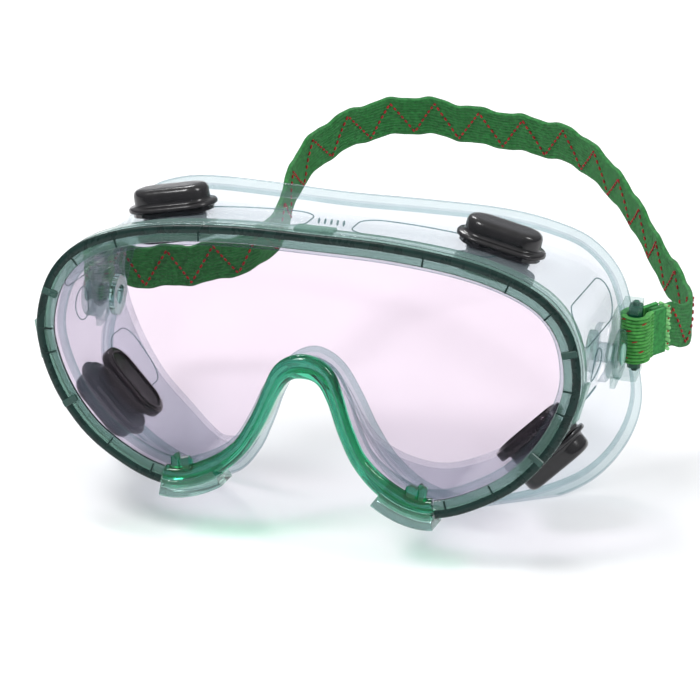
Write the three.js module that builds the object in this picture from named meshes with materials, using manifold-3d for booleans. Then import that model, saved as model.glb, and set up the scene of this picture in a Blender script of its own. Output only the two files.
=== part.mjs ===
// Safety goggles: clear soft body, flat lens held by a snap-on ring, four capped vents
// and an elastic strap on two hinged clips. Millimetres, +Z up, +Y towards the head.
//
// Everything is drawn in the lens frame first (X right, Y back from the lens, Z up, the
// lens plane at Y = 0), then leaned back and set down on the soles of the cheek rim.
import * as THREE from 'three';
import { mergeVertices } from 'three/addons/utils/BufferGeometryUtils.js';
import Module from 'manifold-3d';

const wasm = await Module();
wasm.setup();

// Driving dimensions
const LEAN = 10; // degrees the lens leans back when the goggles stand
const SOLE_DROP = 57.6; // lens centre above the table
const GAP = 0.3;
const LENS_T = 2;
const WALL_T = 2;
const RING_LIP = 5.4; // how far the ring reaches over the lens
const RING_T = 1.8;
const RING_DEPTH = 6.5;
const SEAT_INSET = 2.4; // body wall inside the ring's outer edge
const SEAT_WIDTH = 5; // shelf that the lens lies on
const NOSE_SEAT = 3.4;
const RIM_LIP = 4.5; // face flange turned inwards
const FLARE = 8; // depth over which the wall widens to the rim
const BRIDGE_END = 41.5; // X where the nose bridge meets the ring
const STRAP_W = 15;
const STRAP_T = 1.6;
const HUB = { x: 80.4, y: 53, z: 1, r: 9, boss: 4.4, bore: 3.1 };
const CLIP_TILT = 12; // degrees the strap clips are swung up at rest
const BAR = { reach: 13.5, x: 85.5, side: 4, length: 20.6 };

// Half outlines in X and Z, from the middle of the nose arch round to the top centre:
// the ring's outer edge, and the face rim with its depth behind the lens.
const RING_EDGE = [
  [0, -3.1], [4.2, -4.3], [7.6, -9.5], [11.5, -19], [16.5, -28], [24, -35.4],
  [33, -39.8], [42, -40.4], [53, -36.6], [65.5, -28.6], [75, -17.5], [81, -5],
  [82.8, 6], [80, 18.8], [73, 28.2], [62, 34.3], [46, 38.5], [24, 40.7], [0, 41],
];
const FACE_RIM = [
  [0, -1, 13], [5.2, -4, 14], [9.8, -12.5, 17], [14.3, -24, 22], [20, -35.5, 29], [29, -46, 38],
  [43, -51.5, 47], [60, -50, 57], [75, -44, 67], [84, -33, 74], [87.2, -20, 78], [84.6, -5, 79],
  [82.8, 7, 78], [78.5, 21, 75], [70.5, 32, 68], [60, 38.5, 59], [46, 42.6, 51], [25, 44.2, 45],
  [0, 44.2, 43],
];

// Geometry helpers
const rad = THREE.MathUtils.degToRad;
const v3 = (x, y, z) => new THREE.Vector3(x, y, z);

function closedCurve(half, depthOf) {
  const right = half.map((p) => v3(p[0], depthOf(p), p[1]));
  const left = right.slice(1, -1).reverse().map((p) => v3(-p.x, p.y, p.z));
  return new THREE.CatmullRomCurve3([...right, ...left], true, 'catmullrom', 0.5);
}

const ringCurve = closedCurve(RING_EDGE, () => 0);
const rimCurve = closedCurve(FACE_RIM, (p) => p[2]);

// Outline point and outward normal at t, where t runs once round from the nose.
function outline(t) {
  const p = ringCurve.getPoint(t);
  const d = ringCurve.getTangent(t);
  return { p, n: v3(d.z, 0, -d.x).normalize(), d };
}

const offset = (t, n, y) => {
  const o = outline(t);
  return v3(o.p.x + o.n.x * n, y, o.p.z + o.n.z * n);
};

// The t at which the right half of the outline passes a test, by bisection.
function findT(test, low, high) {
  let a = low;
  let b = high;
  for (let i = 0; i < 40; i += 1) {
    const m = (a + b) / 2;
    if (test(ringCurve.getPoint(m))) b = m;
    else a = m;
  }
  return (a + b) / 2;
}

const half = 0.5;
const T_BRIDGE = findT((p) => p.x > BRIDGE_END, 0, 0.2);
const T_CLIP = findT((p) => p.x > 24.5, 0, 0.2);
const T_LOW_VENT = findT((p) => p.z > -26, 0.22, 0.32);
const T_TOP_VENT = findT((p) => p.x < 50.5, 0.34, half);

function solid(geometry) {
  const bare = new THREE.BufferGeometry();
  const source = geometry.index ? geometry.toNonIndexed() : geometry;
  bare.setAttribute('position', source.attributes.position.clone());
  return mergeVertices(bare, 1e-4);
}

function toManifold(geometry) {
  const g = solid(geometry);
  return new wasm.Manifold(new wasm.Mesh({
    numProp: 3,
    vertProperties: new Float32Array(g.attributes.position.array),
    triVerts: new Uint32Array(g.index.array),
  }));
}

function fromManifold(m) {
  const mesh = m.getMesh();
  const g = new THREE.BufferGeometry();
  g.setAttribute('position', new THREE.BufferAttribute(new Float32Array(mesh.vertProperties), 3));
  g.setIndex(new THREE.BufferAttribute(new Uint32Array(mesh.triVerts), 1));
  return g;
}

function combine(base, added, cut = []) {
  let m = toManifold(base);
  added.forEach((g) => { m = m.add(toManifold(g)); });
  cut.forEach((g) => { m = m.subtract(toManifold(g)); });
  return fromManifold(m);
}

// Skins a row of equal sections into one closed body: a loop, or a bar with flat ends.
function skin(rows, loop, capShape) {
  const n = rows[0].length;
  const position = rows.flat().flatMap((p) => [p.x, p.y, p.z]);
  const index = [];
  const bands = loop ? rows.length : rows.length - 1;
  for (let i = 0; i < bands; i += 1) {
    const a = i * n;
    const b = ((i + 1) % rows.length) * n;
    for (let j = 0; j < n; j += 1) {
      const k = (j + 1) % n;
      index.push(a + j, b + j, b + k, a + j, b + k, a + k);
    }
  }
  if (!loop) {
    const faces = THREE.ShapeUtils.triangulateShape(capShape, []);
    const last = (rows.length - 1) * n;
    const flip = THREE.ShapeUtils.area(capShape) < 0;
    faces.forEach(([a, b, c]) => {
      if (flip) index.push(a, c, b, last + a, last + b, last + c);
      else index.push(a, b, c, last + a, last + c, last + b);
    });
  }
  const g = new THREE.BufferGeometry();
  g.setAttribute('position', new THREE.Float32BufferAttribute(position, 3));
  g.setIndex(index);
  return outwards(g);
}

// Turns every face round when the volume comes out negative.
function outwards(g) {
  const p = g.attributes.position;
  const idx = g.index.array;
  let volume = 0;
  const a = v3();
  const b = v3();
  const c = v3();
  for (let i = 0; i < idx.length; i += 3) {
    a.fromBufferAttribute(p, idx[i]);
    b.fromBufferAttribute(p, idx[i + 1]);
    c.fromBufferAttribute(p, idx[i + 2]);
    volume += a.dot(b.cross(c));
  }
  if (volume < 0) {
    for (let i = 0; i < idx.length; i += 3) {
      [idx[i + 1], idx[i + 2]] = [idx[i + 2], idx[i + 1]];
    }
  }
  return g;
}

// A section of [n, y] pairs, given for each t, carried along the ring's outline.
function alongRing(sectionAt, t0, t1, steps) {
  const cap = sectionAt(t0).map(([n, y]) => new THREE.Vector2(n, y));
  const rows = [];
  for (let i = 0; i <= steps; i += 1) {
    const t = t0 + ((t1 - t0) * i) / steps;
    rows.push(sectionAt(t).map(([n, y]) => offset((t + 1) % 1, n, y)));
  }
  return skin(rows, false, cap);
}

// A block on the outline: centred at t, `long` along it, from n0 to n1 and y0 to y1.
function blockAt(t, long, n0, n1, y0, y1) {
  const o = outline((t + 1) % 1);
  const g = new THREE.BoxGeometry(n1 - n0, y1 - y0, long);
  g.translate((n0 + n1) / 2, (y0 + y1) / 2, 0);
  const across = v3().crossVectors(o.n, v3(0, 1, 0));
  g.applyMatrix4(new THREE.Matrix4().makeBasis(o.n, v3(0, 1, 0), across).setPosition(o.p));
  return g;
}

function stadium(length, width) {
  const r = width / 2;
  const s = (length - width) / 2;
  const shape = new THREE.Shape();
  shape.absarc(s, 0, r, -Math.PI / 2, Math.PI / 2, false);
  shape.absarc(-s, 0, r, Math.PI / 2, (Math.PI * 3) / 2, false);
  shape.closePath();
  return shape;
}

// A stadium slab from height z0 to z1 in its own frame, with an optional hole or bevel.
function slab(length, width, z0, z1, hole = null, bevel = 0) {
  const shape = stadium(length - 2 * bevel, width - 2 * bevel);
  if (hole) shape.holes.push(stadium(hole[0], hole[1]));
  const g = new THREE.ExtrudeGeometry(shape, {
    depth: z1 - z0 - 2 * bevel,
    bevelEnabled: bevel > 0,
    bevelThickness: bevel,
    bevelSize: bevel,
    bevelSegments: 2,
    curveSegments: 4,
  });
  return g.translate(0, 0, z0 + bevel);
}

// A disc or rod along +X from x0 to x1.
function rod(radius, x0, x1, y, z, sides = 20) {
  const g = new THREE.CylinderGeometry(radius, radius, x1 - x0, sides);
  return g.rotateZ(Math.PI / 2).translate((x0 + x1) / 2, y, z);
}

const mirrorX = (g) => {
  const m = solid(g).applyMatrix4(new THREE.Matrix4().makeScale(-1, 1, 1));
  return outwards(m);
};

// Body: front seat, straight wall, flare, then the soft rim turned in towards the face
const smooth = (x) => THREE.MathUtils.smoothstep(x, 0, 1);

function wallPoint(t, y, inwards) {
  const front = offset(t, -SEAT_INSET, y);
  const rim = rimCurve.getPoint(t);
  const s = smooth((y - (rim.y - FLARE)) / (FLARE - 1.5));
  const { n } = outline(t);
  const base = v3(THREE.MathUtils.lerp(front.x, rim.x, s), y, THREE.MathUtils.lerp(front.z, rim.z, s));
  return base.addScaledVector(n, -inwards);
}

function bodySection(t) {
  const seatY = LENS_T + GAP;
  const end = rimCurve.getPoint(t).y;
  const steps = [-FLARE, -FLARE * 0.7, -FLARE * 0.45, -1.2];
  const outer = [seatY, ...steps.map((s) => end + s)].map((y) => wallPoint(t, y, 0));
  const rim = [wallPoint(t, end, 1), wallPoint(t, end + 0.4, RIM_LIP), wallPoint(t, end - 1.2, RIM_LIP)];
  const back = [-2.2, -FLARE * 0.45, -FLARE * 0.7, -FLARE];
  const inner = [...back.map((s) => end + s), seatY + WALL_T].map((y) => wallPoint(t, y, WALL_T));
  const nose = 1 - smooth((Math.min(t, 1 - t) - 0.1) / 0.06);
  const seat = THREE.MathUtils.lerp(SEAT_WIDTH, NOSE_SEAT, nose);
  const lip = [wallPoint(t, seatY + WALL_T, seat), wallPoint(t, seatY, seat)];
  return [...outer, ...rim, ...inner, ...lip];
}

function bodyShell() {
  const count = 72;
  const rows = [];
  for (let i = 0; i < count; i += 1) rows.push(bodySection(i / count));
  return skin(rows, true);
}

// Vents: the same stack four times, each on its own place and outward direction
const VENTS = [
  ['top_right', T_TOP_VENT, 1, 27], ['low_right', T_LOW_VENT, 1, 31],
  ['top_left', T_TOP_VENT, -1, 27], ['low_left', T_LOW_VENT, -1, 31],
];

// The frame of a vent: local X along the wall, local Y across its depth, local Z outwards.
function ventFrame(t, side, depth) {
  const { n } = outline(t);
  const p = offset(t, -SEAT_INSET, depth);
  const out = v3(n.x * side, 0, n.z);
  const deep = v3(0, 1, 0);
  const along = v3().crossVectors(deep, out);
  p.x *= side;
  return new THREE.Matrix4().makeBasis(along, deep, out).setPosition(p);
}

function ventParts() {
  const port = slab(20, 9, -6, 4);
  const seat = combine(slab(25, 14, GAP, 1.4, [16.4, 5.4]), [slab(19.4, 8.4, -6, 4.6, [16.4, 5.4])]);
  const dome = slab(23.6, 12.4, 2, 8.4, null, 1.5);
  const cavity = slab(20, 9, 1, 7);
  const cap = combine(slab(27.4, 16.2, 1.7, 3.2), [dome], [cavity]);
  const slots = [-4.5, 0, 4.5].map((x) => slab(2.6, 1.2, -9, -6).rotateZ(Math.PI / 2).translate(x, 0, 0));
  const retainer = combine(slab(25, 14, -7.7, -4.6), [], [slab(20, 9, -6.4, -4), ...slots]);
  return { port, seat, cap, retainer };
}

// Strap clips, drawn for the right side with the hub at the origin and the arm along +Y
function stripClip() {
  const [from, to] = [0.3, 1.9];
  const plate = rod(7.8, from, to, 0, 0);
  const armZ = BAR.length / 2 + 1;
  const tongue = new THREE.BoxGeometry(to - from, 8.6, 2 * armZ + 1.4).translate(1.1, 4.3, 0);
  const outX = BAR.x - HUB.x + BAR.side / 2;
  const armLong = BAR.reach + BAR.side / 2 - 6;
  const inX = from + 1; // clears the flared rim when the clip swings
  const arm = new THREE.BoxGeometry(outX - inX, armLong, 1.4);
  arm.translate((outX + inX) / 2, 6 + armLong / 2, 0);
  const arms = [armZ, -armZ].map((z) => arm.clone().translate(0, 0, z));
  const pinHole = new THREE.CylinderGeometry(1.3, 1.3, 2 * armZ + 6, 12).rotateX(Math.PI / 2);
  pinHole.translate(BAR.x - HUB.x, BAR.reach, 0);
  return combine(plate, [tongue, ...arms], [rod(HUB.bore, -1, 4, 0, 0), pinHole]);
}

function strapBar() {
  const s = BAR.side / 2;
  const shape = new THREE.Shape();
  shape.moveTo(-s + 0.7, -s);
  [[s - 0.7, -s], [s, -s + 0.7], [s, s - 0.7], [s - 0.7, s], [-s + 0.7, s], [-s, s - 0.7], [-s, -s + 0.7]]
    .forEach(([x, y]) => shape.lineTo(x, y));
  const body = new THREE.ExtrudeGeometry(shape, { depth: BAR.length, bevelEnabled: false });
  body.translate(0, 0, -BAR.length / 2);
  const pins = new THREE.CylinderGeometry(1, 1, BAR.length + 2.6, 12).rotateX(Math.PI / 2);
  return combine(body, [pins]).translate(BAR.x - HUB.x, BAR.reach, 0);
}

// Strap end: doubled round the bar, both legs lying on the strap; `turn` aims the legs.
const LEG = 10;
function strapLoop(turn) {
  const half0 = STRAP_T / 2 + GAP;
  const inner = BAR.side / 2 + 0.75;
  const outer = inner + STRAP_T;
  const shape = new THREE.Shape();
  const a = Math.asin(half0 / inner);
  const b = Math.acos(0.35);
  shape.moveTo(LEG, half0);
  shape.lineTo(LEG, half0 + STRAP_T);
  shape.lineTo(outer * Math.cos(b), outer * Math.sin(b));
  shape.absarc(0, 0, outer, b, 2 * Math.PI - b, false);
  shape.lineTo(LEG, -half0 - STRAP_T);
  shape.lineTo(LEG, -half0);
  shape.absarc(0, 0, inner, 2 * Math.PI - a, a, true);
  const g = new THREE.ExtrudeGeometry(shape, { depth: STRAP_W, bevelEnabled: false, curveSegments: 10 });
  g.translate(0, 0, -STRAP_W / 2).rotateZ(turn);
  return g.translate(BAR.x - HUB.x, BAR.reach, 0);
}

// From a clip's own frame to the lens frame.
const clipPose = new THREE.Matrix4().makeTranslation(HUB.x, HUB.y, HUB.z)
  .multiply(new THREE.Matrix4().makeRotationX(rad(CLIP_TILT)));

// Strap: leaves each bar along its loop's legs, then follows a route picked by hand.
const LEAVE = { left: rad(78), right: rad(52) };

function legPoint(turn, reach, side) {
  const p = v3(BAR.x - HUB.x + reach * Math.cos(turn), BAR.reach + reach * Math.sin(turn), 0);
  p.applyMatrix4(clipPose);
  p.x *= side;
  return p;
}

const STRAP_ROUTE = [
  [-88, 85, 2], [-81, 90, 0.5], [-67, 92, 2], [-54, 94, 5], [-44, 98, 9], [-39, 108, 15],
  [-40, 122, 23], [-38, 133, 31], [-31, 142, 38], [-20, 150, 43], [-6, 155.5, 45], [10, 156.5, 43.5],
  [30, 155, 42.5], [46, 150, 41], [60, 140, 35], [73, 127, 25.5], [84, 113, 15.5], [94, 99, 8.5],
  [98, 88, 4.5],
];

function strapRibbon() {
  const start = [5.6, 7.6, LEG].map((r) => legPoint(LEAVE.left, r, -1));
  const end = [LEG, 7.6, 5.6].map((r) => legPoint(LEAVE.right, r, 1));
  const points = [...start, ...STRAP_ROUTE.map((p) => v3(...p)), ...end];
  const curve = new THREE.CatmullRomCurve3(points, false, 'centripetal');
  const steps = 56;
  const rows = [];
  for (let i = 0; i <= steps; i += 1) {
    const u = i / steps;
    const tilt = rad(CLIP_TILT + 16 * smooth(Math.min(u, 1 - u) / 0.3));
    const up = v3(0, -Math.sin(tilt), Math.cos(tilt));
    const along = curve.getTangentAt(u);
    const across = v3().crossVectors(up, along).normalize();
    const c = curve.getPointAt(u);
    const corner = (a, w) => c.clone().addScaledVector(across, a * STRAP_T / 2)
      .addScaledVector(up, w * STRAP_W / 2);
    rows.push([corner(-1, -1), corner(1, -1), corner(1, 1), corner(-1, 1)]);
  }
  const square = [[0, 0], [1, 0], [1, 1], [0, 1]].map(([x, y]) => new THREE.Vector2(x, y));
  return skin(rows, false, square);
}

// Colours: soft clear vinyl, pale green ring, deep green nose piece, black vents, green elastic
const LOOKS = {
  clear: { color: 0xdfe8ea, roughness: 0.15, metalness: 0, transparent: true, opacity: 0.35 },
  lens: { color: 0xf1eef6, roughness: 0.03, metalness: 0, transparent: true, opacity: 0.25 },
  pale_green: { color: 0x8fbfae, roughness: 0.12, metalness: 0, transparent: true, opacity: 0.7 },
  deep_green: { color: 0x1f8f63, roughness: 0.15, metalness: 0, transparent: true, opacity: 0.85 },
  black: { color: 0x111214, roughness: 0.3, metalness: 0 },
  dark_green: { color: 0x0f4a33, roughness: 0.3, metalness: 0 },
  elastic: { color: 0x2f9440, roughness: 0.85, metalness: 0 },
};

const object = new THREE.Group();
object.name = 'safety_goggles';

// Lens frame to the table: lean back, then down onto the cheek soles.
const stand = new THREE.Matrix4().makeTranslation(0, 0, SOLE_DROP)
  .multiply(new THREE.Matrix4().makeRotationX(rad(-LEAN)));

const nodes = [];
function addNode(name, geometry, look) {
  nodes.push({ name, geometry: solid(geometry).applyMatrix4(stand), look });
}

function addPair(name, geometry, look) {
  addNode(`${name}_right`, geometry, look);
  addNode(`${name}_left`, mirrorX(geometry), look);
}

// Front: lens, ring, nose bridge and the two clips under it
const lensShape = new THREE.Shape();
const LENS_POINTS = 72;
for (let i = 0; i < LENS_POINTS; i += 1) {
  const p = offset(i / LENS_POINTS, -SEAT_INSET - 0.3, 0);
  if (i === 0) lensShape.moveTo(p.x, p.z);
  else lensShape.lineTo(p.x, p.z);
}
const lens = new THREE.ExtrudeGeometry(lensShape, { depth: LENS_T, bevelEnabled: false });
addNode('lens', lens.rotateX(Math.PI / 2).translate(0, LENS_T, 0), 'lens');

const FRONT = -GAP - RING_T;
const ringSection = () => [
  [-RING_LIP, FRONT + 0.4], [-RING_LIP + 0.5, FRONT], [-0.7, FRONT], [0, FRONT + 0.7], [0, RING_DEPTH],
  [-RING_T, RING_DEPTH], [-RING_T, -GAP], [-RING_LIP, -GAP],
];
const ringTs = [T_BRIDGE + 0.002, 1 - T_BRIDGE - 0.002];
const ribTs = [0.272, 0.352].flatMap((t) => [t, 1 - t]);
const ribs = ribTs.map((t) => blockAt(t, 2.2, -RING_LIP + 0.4, -1, FRONT - 0.6, FRONT + 0.5));
const tabs = [half, 0.315, 0.685].map((t) => blockAt(t, 12, -0.5, 0.7, 0.5, RING_DEPTH - 0.6));
addNode('lens_ring', combine(alongRing(ringSection, ...ringTs, 52), [...ribs, ...tabs]), 'pale_green');

// The nose bridge is widest over the top of the nose, narrow down its sides.
const bridgeWidth = (t) => 4.8 + 2.5 * (1 - smooth(Math.abs(t) / 0.07)) + 1.2 * smooth((Math.abs(t) - 0.1) / 0.05);
const bridgeSection = (t) => {
  const w = bridgeWidth(t);
  return [
    [-w, -GAP], [-w + 0.4, FRONT - 0.1], [-w * 0.7, FRONT - 0.9], [-w * 0.3, FRONT - 0.9],
    [-0.4, FRONT - 0.2], [0, FRONT + 1.2], [0, RING_DEPTH], [-RING_T, RING_DEPTH], [-RING_T, -GAP],
  ];
};
const bridge = alongRing(bridgeSection, -T_BRIDGE, T_BRIDGE, 32);
const T_LUMP = findT((p) => p.x > 33, 0, 0.2);
const hooks = [1, -1].flatMap((s) => [
  blockAt(s * T_LUMP, 4.6, -8.6, -4, FRONT - 0.4, -GAP),
  blockAt(s * (T_LUMP + T_BRIDGE) * half, 2.6, -9.4, -4, FRONT - 0.4, -GAP),
]);
addNode('nose_bridge', combine(bridge, hooks), 'deep_green');

const clipSection = () => [
  [-2.2, FRONT - 2.1], [3.2, FRONT - 2.1], [3.2, RING_DEPTH + 1.5], [-1.5, RING_DEPTH + 1.5],
  [-1.5, RING_DEPTH + 0.4], [0.35, RING_DEPTH + 0.4], [0.35, FRONT - 1.2], [-2.2, FRONT - 1.2],
];
addPair('ring_clip', alongRing(clipSection, T_CLIP, T_BRIDGE, 6), 'pale_green');

// Body with its hub bosses, vent ports and hub bores, and the flat soles it stands on
const vent = ventParts();
const boss = rod(HUB.r, HUB.x - HUB.boss, HUB.x, HUB.y, HUB.z);
const bores = rod(HUB.bore, -HUB.x - 4, HUB.x + 4, HUB.y, HUB.z);
const ports = VENTS.map(([, ...place]) => vent.port.clone().applyMatrix4(ventFrame(...place)));
const table = new THREE.BoxGeometry(400, 400, 40).translate(0, 0, -20);
table.applyMatrix4(stand.clone().invert());
const body = combine(bodyShell(), [boss, mirrorX(boss)], [bores, ...ports, table]);
addNode('face_frame', body, 'clear');

VENTS.forEach(([place, ...seat]) => {
  const frame = ventFrame(...seat);
  addNode(`vent_cap_${place}`, vent.cap.clone().applyMatrix4(frame), 'black');
  addNode(`vent_seat_${place}`, vent.seat.clone().applyMatrix4(frame), 'black');
  addNode(`vent_retainer_${place}`, vent.retainer.clone().applyMatrix4(frame), 'black');
});

// Hubs and strap
const button = combine(rod(7.5, 2.2, 4, 0, 0, 24), [rod(2.8, -7, 2.4, 0, 0)]);
addPair('hub_button', button.translate(HUB.x, HUB.y, HUB.z), 'clear');
const washer = combine(rod(6.5, -6.4, -4.7, 0, 0), [], [rod(HUB.bore, -8, 0, 0, 0)]);
addPair('hub_washer', washer.translate(HUB.x, HUB.y, HUB.z), 'pale_green');
addPair('strap_clip', stripClip().applyMatrix4(clipPose), 'clear');
addPair('strap_bar', strapBar().applyMatrix4(clipPose), 'dark_green');
addNode('strap_loop_right', strapLoop(LEAVE.right).applyMatrix4(clipPose), 'elastic');
addNode('strap_loop_left', mirrorX(strapLoop(LEAVE.left).applyMatrix4(clipPose)), 'elastic');
addNode('strap', strapRibbon(), 'elastic');

// The origin is the middle of the whole part's footprint, on the table.
const bounds = new THREE.Box3();
nodes.forEach(({ geometry }) => {
  geometry.computeBoundingBox();
  bounds.union(geometry.boundingBox);
});
const middle = bounds.getCenter(v3());
nodes.forEach(({ name, geometry, look }) => {
  geometry.translate(-middle.x, -middle.y, -bounds.min.z);
  geometry.computeVertexNormals();
  const mesh = new THREE.Mesh(geometry, new THREE.MeshStandardMaterial(LOOKS[look]));
  mesh.name = name;
  object.add(mesh);
});

export default object;
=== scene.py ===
import math

import bmesh
import bpy
import numpy as np
from mathutils import Matrix


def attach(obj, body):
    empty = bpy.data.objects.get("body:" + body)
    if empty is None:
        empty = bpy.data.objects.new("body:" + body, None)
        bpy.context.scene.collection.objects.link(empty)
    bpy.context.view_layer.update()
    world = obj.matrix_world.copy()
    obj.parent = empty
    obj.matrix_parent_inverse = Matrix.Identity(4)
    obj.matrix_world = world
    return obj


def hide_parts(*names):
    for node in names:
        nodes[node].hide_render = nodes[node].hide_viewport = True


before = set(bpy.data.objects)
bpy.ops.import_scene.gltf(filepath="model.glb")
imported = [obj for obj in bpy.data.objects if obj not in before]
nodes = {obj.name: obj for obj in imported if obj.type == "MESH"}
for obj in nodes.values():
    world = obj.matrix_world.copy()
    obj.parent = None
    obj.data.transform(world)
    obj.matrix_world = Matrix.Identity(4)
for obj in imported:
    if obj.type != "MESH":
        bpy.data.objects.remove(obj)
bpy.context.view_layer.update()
scene = bpy.context.scene

# ---------------------------------------------------------------- lens frame
# Shapes are worked out in millimetres in the lens frame of the CAD source
# (X right, Y back from the lens, Z up), then put into the row frame.
LEAN = math.radians(10)
COS, SIN = math.cos(LEAN), math.sin(LEAN)
SHIFT = np.array([-4.2104, -76.5440, 57.6])
TURN = np.array([[1, 0, 0], [0, COS, SIN], [0, -SIN, COS]])
LENS_T, WALL_T, GAP, FLARE, SEAT_INSET = 2.0, 2.0, 0.3, 8.0, 2.4
RING_DEPTH, FRONT = 6.5, -2.1
HUB = np.array([80.4, 53.0, 1.0])
BAR = np.array([5.1, 13.5, 0.0])
TILT = math.radians(12)
STRAP_W, STRAP_T, LEG = 15.0, 1.6, 10.0
LEAVE = {"left": math.radians(78), "right": math.radians(52)}

RING_EDGE = [(0, -3.1), (4.2, -4.3), (7.6, -9.5), (11.5, -19), (16.5, -28), (24, -35.4), (33, -39.8),
             (42, -40.4), (53, -36.6), (65.5, -28.6), (75, -17.5), (81, -5), (82.8, 6), (80, 18.8),
             (73, 28.2), (62, 34.3), (46, 38.5), (24, 40.7), (0, 41)]
FACE_RIM = [(0, -1, 13), (5.2, -4, 14), (9.8, -12.5, 17), (14.3, -24, 22), (20, -35.5, 29),
            (29, -46, 38), (43, -51.5, 47), (60, -50, 57), (75, -44, 67), (84, -33, 74),
            (87.2, -20, 78), (84.6, -5, 79), (82.8, 7, 78), (78.5, 21, 75), (70.5, 32, 68),
            (60, 38.5, 59), (46, 42.6, 51), (25, 44.2, 45), (0, 44.2, 43)]
STRAP_ROUTE = [(-88, 85, 2), (-81, 90, 0.5), (-67, 92, 2), (-54, 94, 5), (-44, 98, 9), (-39, 108, 15),
               (-40, 122, 23), (-38, 133, 31), (-31, 142, 38), (-20, 150, 43), (-6, 155.5, 45),
               (10, 156.5, 43.5), (30, 155, 42.5), (46, 150, 41), (60, 140, 35), (73, 127, 25.5),
               (84, 113, 15.5), (94, 99, 8.5), (98, 88, 4.5)]


def to_row(p):
    """Lens frame in millimetres to the row frame in metres."""
    return (np.asarray(p, float) @ TURN.T + SHIFT) / 1000


def smooth(x):
    x = np.clip(x, 0, 1)
    return x * x * (3 - 2 * x)


def unit(v):
    return v / np.maximum(np.linalg.norm(v, axis=-1, keepdims=True), 1e-12)


def closed_points(half, depth):
    right = [(p[0], p[2] if depth else 0.0, p[1]) for p in half]
    left = [(-x, y, z) for x, y, z in right[1:-1][::-1]]
    return np.array(right + left, float)


RING_POINTS = closed_points(RING_EDGE, False)
RIM_POINTS = closed_points(FACE_RIM, True)


def closed_curve(points, t, slope=False):
    """Closed Catmull-Rom curve, as in the CAD source, at each t of an array."""
    n = len(points)
    f = (np.asarray(t, float) % 1.0) * n
    i = np.floor(f).astype(int) % n
    w = (f - np.floor(f))[..., None]
    p0, p1, p2, p3 = (points[(i + k) % n] for k in (-1, 0, 1, 2))
    a, b = 0.5 * (p2 - p0), 0.5 * (p3 - p1)
    c2, c3 = -3 * p1 + 3 * p2 - 2 * a - b, 2 * p1 - 2 * p2 + a + b
    if slope:
        return a + 2 * c2 * w + 3 * c3 * w * w
    return p1 + a * w + c2 * w * w + c3 * w ** 3


def normal_at(t):
    d = closed_curve(RING_POINTS, t, True)
    return unit(np.stack([d[..., 2], 0 * d[..., 0], -d[..., 0]], -1))


def edge(t, n, y):
    """A point n outside the ring's edge at t, at depth y."""
    t = np.asarray(t, float)
    n, y = np.broadcast_to(n, t.shape), np.broadcast_to(y, t.shape)
    p = closed_curve(RING_POINTS, t) + normal_at(t) * n[..., None]
    p[..., 1] = y
    return p


def find_t(test, low, high):
    for _ in range(40):
        mid = (low + high) / 2
        if test(closed_curve(RING_POINTS, np.array(mid))):
            high = mid
        else:
            low = mid
    return (low + high) / 2


T_BRIDGE = find_t(lambda p: p[0] > 41.5, 0, 0.2)
T_CLIP = find_t(lambda p: p[0] > 24.5, 0, 0.2)
T_LOW_VENT = find_t(lambda p: p[2] > -26, 0.22, 0.32)
T_TOP_VENT = find_t(lambda p: p[0] < 50.5, 0.34, 0.5)
T_LUMP = find_t(lambda p: p[0] > 33, 0, 0.2)


# ---------------------------------------------------------------- mesh helpers
def make(name, verts, faces, material, body, node=None, extra=(), index=None,
         angle=38, bevel=0):
    """A mesh object from points in the lens frame, riding on a body."""
    me = bpy.data.meshes.new(name)
    me.from_pydata(to_row(verts).tolist(), [], faces)
    bm = bmesh.new()
    bm.from_mesh(me)
    if index is not None:
        for f, k in zip(bm.faces, index):
            f.material_index = k
    bmesh.ops.recalc_face_normals(bm, faces=bm.faces)
    bm.to_mesh(me)
    bm.free()
    for m in (material, *extra):
        me.materials.append(m)
    o = bpy.data.objects.new(name, me)
    scene.collection.objects.link(o)
    finish_piece(o, angle, bevel)
    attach(o, body)
    if node:
        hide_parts(*([node] if isinstance(node, str) else node))
    return o


def finish_piece(o, angle=38, bevel=0):
    me = o.data
    me.polygons.foreach_set("use_smooth", [True] * len(me.polygons))
    me.set_sharp_from_angle(angle=math.radians(angle))
    if bevel:
        b = o.modifiers.new("edges", "BEVEL")
        b.width, b.segments, b.limit_method = bevel / 1000, 2, "ANGLE"
        b.angle_limit, b.harden_normals = math.radians(40), False


def skin(rows, loop=False):
    """Faces joining equal closed sections into one closed surface."""
    rows = np.asarray(rows, float)
    r, n = rows.shape[:2]
    faces = []
    for i in range(r if loop else r - 1):
        a, b = i * n, (i + 1) % r * n
        faces += [(a + j, b + j, b + (j + 1) % n, a + (j + 1) % n) for j in range(n)]
    if not loop:
        faces += [tuple(range(n))[::-1], tuple(range((r - 1) * n, r * n))]
    return rows.reshape(-1, 3), faces


def joined(parts):
    verts, faces, k = [], [], 0
    for v, f in parts:
        verts.append(np.asarray(v, float).reshape(-1, 3))
        faces += [tuple(i + k for i in x) for x in f]
        k += len(verts[-1])
    return np.concatenate(verts), faces


def tube(path, radius, sides=8, loop=False):
    """A round tube along a path of points, closed or with rounded ends."""
    p = np.asarray(path, float)
    d = unit(np.roll(p, -1, 0) - np.roll(p, 1, 0)) if loop else unit(np.gradient(p, axis=0))
    ref = np.array([0.31, 0.17, 0.93])
    a = unit(np.cross(d, ref))
    b = np.cross(d, a)
    r = np.full(len(p), float(radius))
    if not loop:
        r[0] = r[-1] = radius * 0.55
    q = np.linspace(0, 2 * math.pi, sides, endpoint=False)
    circle = np.cos(q)[None, :, None] * a[:, None] + np.sin(q)[None, :, None] * b[:, None]
    rows = p[:, None] + r[:, None, None] * circle
    return skin(rows, loop)


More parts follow.
